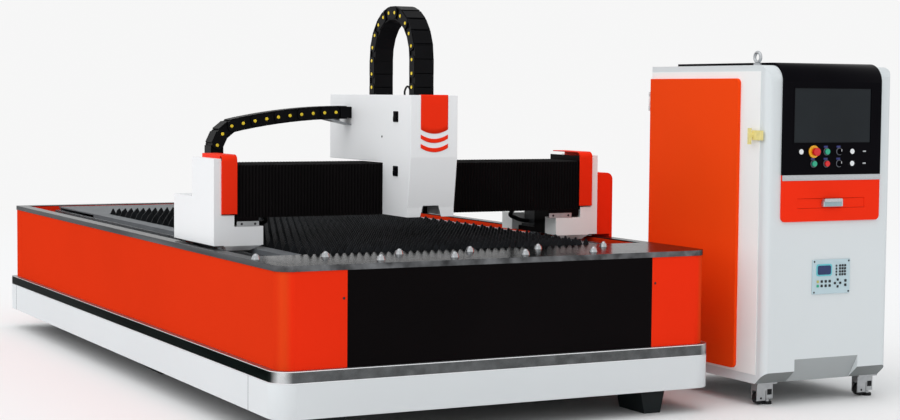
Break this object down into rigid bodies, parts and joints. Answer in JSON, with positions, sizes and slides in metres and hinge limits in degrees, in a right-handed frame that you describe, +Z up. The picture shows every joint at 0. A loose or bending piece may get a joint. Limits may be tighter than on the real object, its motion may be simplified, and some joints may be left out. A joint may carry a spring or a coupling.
{
  "type": "fiber laser cutting machine",
  "caption": "Open-bed sheet cutting machine: slatted bed with loading plate, travelling gantry with bellows and cutting carriage, and a separate control cabinet.",
  "frame": {"origin": "on the floor at the centre of the bed's footprint, at the centre of the four corner anchor holes", "axes": "+Z up, +Y along the bed from the loading end to the rear, +X across the bed towards the control cabinet"},
  "size_m": [3.347, 4.694, 1.9764],
  "materials": {
    "orange_paint": "satin orange powder coat",
    "white_paint": "satin white powder coat",
    "black_paint": "gloss black paint",
    "frame_paint": "dark grey paint",
    "stainless": "brushed",
    "polished": "polished",
    "slat_steel": "hot rolled",
    "table_steel": "grey paint",
    "ground_steel": "ground",
    "machined": "machined",
    "copper": "turned",
    "bellows_cloth": "coated cloth",
    "chain_plastic": "moulded",
    "fascia_black": "gloss",
    "screen_glass": "glass over a dark display",
    "keypad_film": "membrane film",
    "instrument": "grey paint",
    "caster_metal": "cast",
    "wheel_rubber": "moulded",
    "red_plastic": "gloss",
    "green_plastic": "gloss",
    "key_yellow": "polished"
  },
  "bodies": {
    "bed": {"bed_frame": "frame_paint", "left_side_panel": "orange_paint", "right_side_panel": "orange_paint", "front_panel": "black_paint", "rear_panel": "orange_paint", "trim_band": "stainless", "skirt_panels": "white_paint", "top_rim": "polished", "loading_plate": "polished", "ball_units": "polished", "slat_frame": "table_steel", "slats": "slat_steel", "y_guides": "ground_steel", "levelling_feet": "black_paint", "cabinet_shell": "white_paint", "fascia": "fascia_black", "screen": "screen_glass", "drawer_panel": "orange_paint", "keypad": "keypad_film", "laser_source": "instrument", "lifting_eye": "polished", "caster_bodies": "caster_metal"},
    "gantry": {"beam": "frame_paint", "x_guides": "ground_steel", "left_end_housing": "white_paint", "right_end_housing": "white_paint", "left_end_cap": "orange_paint", "right_end_cap": "orange_paint", "y_bearing_blocks": "ground_steel", "y_motors": "frame_paint", "chain_arm": "orange_paint", "left_bellows": "bellows_cloth", "right_bellows": "bellows_cloth", "chain_tray": "stainless"},
    "left_pinion": {"left_pinion": "ground_steel"},
    "right_pinion": {"right_pinion": "ground_steel"},
    "carriage": {"carriage_plate": "machined", "carriage_cover": "white_paint", "carriage_motors": "frame_paint", "loop_chain": "chain_plastic", "beam_chain": "chain_plastic"},
    "head": {"head_slide": "machined", "cutting_head": "machined", "nozzle": "copper"},
    "chain_bend": {"beam_chain_bend": "chain_plastic"},
    "door": {"side_door": "white_paint", "door_panel": "orange_paint"},
    "door_key": {"door_key": "key_yellow"},
    "drawer": {"keyboard_drawer": "orange_paint"},
    "estop": {"estop_button": "red_plastic"},
    "start_button": {"start_button": "green_plastic"},
    "laser_button": {"laser_button": "green_plastic"},
    "stop_button": {"stop_button": "red_plastic"},
    "mode_knob": {"mode_knob": "fascia_black"},
    "light_knob": {"light_knob": "fascia_black"},
    "wheel_1": {"caster_wheel_1": "wheel_rubber"},
    "wheel_2": {"caster_wheel_2": "wheel_rubber"},
    "wheel_3": {"caster_wheel_3": "wheel_rubber"},
    "wheel_4": {"caster_wheel_4": "wheel_rubber"}
  },
  "joints": [
    {"name": "gantry_travel", "type": "slide", "parent": "bed", "child": "gantry", "axis": [0, 1, 0], "range_m": [-0.25, 2.8]},
    {"name": "left_pinion_spin", "type": "hinge", "parent": "gantry", "child": "left_pinion", "pos_m": [-0.932, -0.95, 0.75], "axis": [0, 0, 1], "continuous": true},
    {"name": "right_pinion_spin", "type": "hinge", "parent": "gantry", "child": "right_pinion", "pos_m": [0.932, -0.95, 0.75], "axis": [0, 0, 1], "continuous": true},
    {"name": "carriage_travel", "type": "slide", "parent": "gantry", "child": "carriage", "axis": [1, 0, 0], "range_m": [-0.68, 0.8], "deforming": ["left_bellows", "right_bellows", "beam_chain"]},
    {"name": "chain_roll", "type": "slide", "parent": "carriage", "child": "chain_bend", "axis": [1, 0, 0], "range_m": [-0.401, 0.341]},
    {"name": "head_lift", "type": "slide", "parent": "carriage", "child": "head", "axis": [0, 0, 1], "range_m": [-0.1, 0.02], "deforming": ["loop_chain"]},
    {"name": "door_hinge", "type": "hinge", "parent": "bed", "child": "door", "pos_m": [1.4017, -1.324, 0.9], "axis": [0, 0, -1], "range_deg": [0, 14]},
    {"name": "key_turn", "type": "hinge", "parent": "door", "child": "door_key", "pos_m": [1.412, -2.243, 1.35], "axis": [-1, 0, 0], "range_deg": [0, 90]},
    {"name": "drawer_slide", "type": "slide", "parent": "bed", "child": "drawer", "axis": [0, -1, 0], "range_m": [0, 0.33]},
    {"name": "estop_press", "type": "slide", "parent": "bed", "child": "estop", "axis": [0, 1, 0], "range_m": [0, 0.005], "stiffness_N_per_m": 2000},
    {"name": "start_press", "type": "slide", "parent": "bed", "child": "start_button", "axis": [0, 1, 0], "range_m": [0, 0.004], "stiffness_N_per_m": 800},
    {"name": "laser_press", "type": "slide", "parent": "bed", "child": "laser_button", "axis": [0, 1, 0], "range_m": [0, 0.004], "stiffness_N_per_m": 800},
    {"name": "stop_press", "type": "slide", "parent": "bed", "child": "stop_button", "axis": [0, 1, 0], "range_m": [0, 0.004], "stiffness_N_per_m": 800},
    {"name": "mode_turn", "type": "hinge", "parent": "bed", "child": "mode_knob", "pos_m": [1.844, -2.35, 1.27], "axis": [0, -1, 0], "range_deg": [-45, 45]},
    {"name": "light_turn", "type": "hinge", "parent": "bed", "child": "light_knob", "pos_m": [1.844, -2.35, 1.21], "axis": [0, -1, 0], "range_deg": [-45, 45]},
    {"name": "wheel_spin_1", "type": "hinge", "parent": "bed", "child": "wheel_1", "pos_m": [1.474, -2.23, 0.034], "axis": [0, 1, 0], "continuous": true},
    {"name": "wheel_spin_2", "type": "hinge", "parent": "bed", "child": "wheel_2", "pos_m": [2.114, -2.23, 0.034], "axis": [0, 1, 0], "continuous": true},
    {"name": "wheel_spin_3", "type": "hinge", "parent": "bed", "child": "wheel_3", "pos_m": [1.474, -1.42, 0.034], "axis": [0, 1, 0], "continuous": true},
    {"name": "wheel_spin_4", "type": "hinge", "parent": "bed", "child": "wheel_4", "pos_m": [2.114, -1.42, 0.034], "axis": [0, 1, 0], "continuous": true}
  ],
  "couplings": [
    {"joint": "left_pinion_spin", "follows": "gantry_travel", "rad_per_m": -25},
    {"joint": "right_pinion_spin", "follows": "gantry_travel", "rad_per_m": 25},
    {"joint": "chain_roll", "follows": "carriage_travel", "ratio": -0.5}
  ]
}
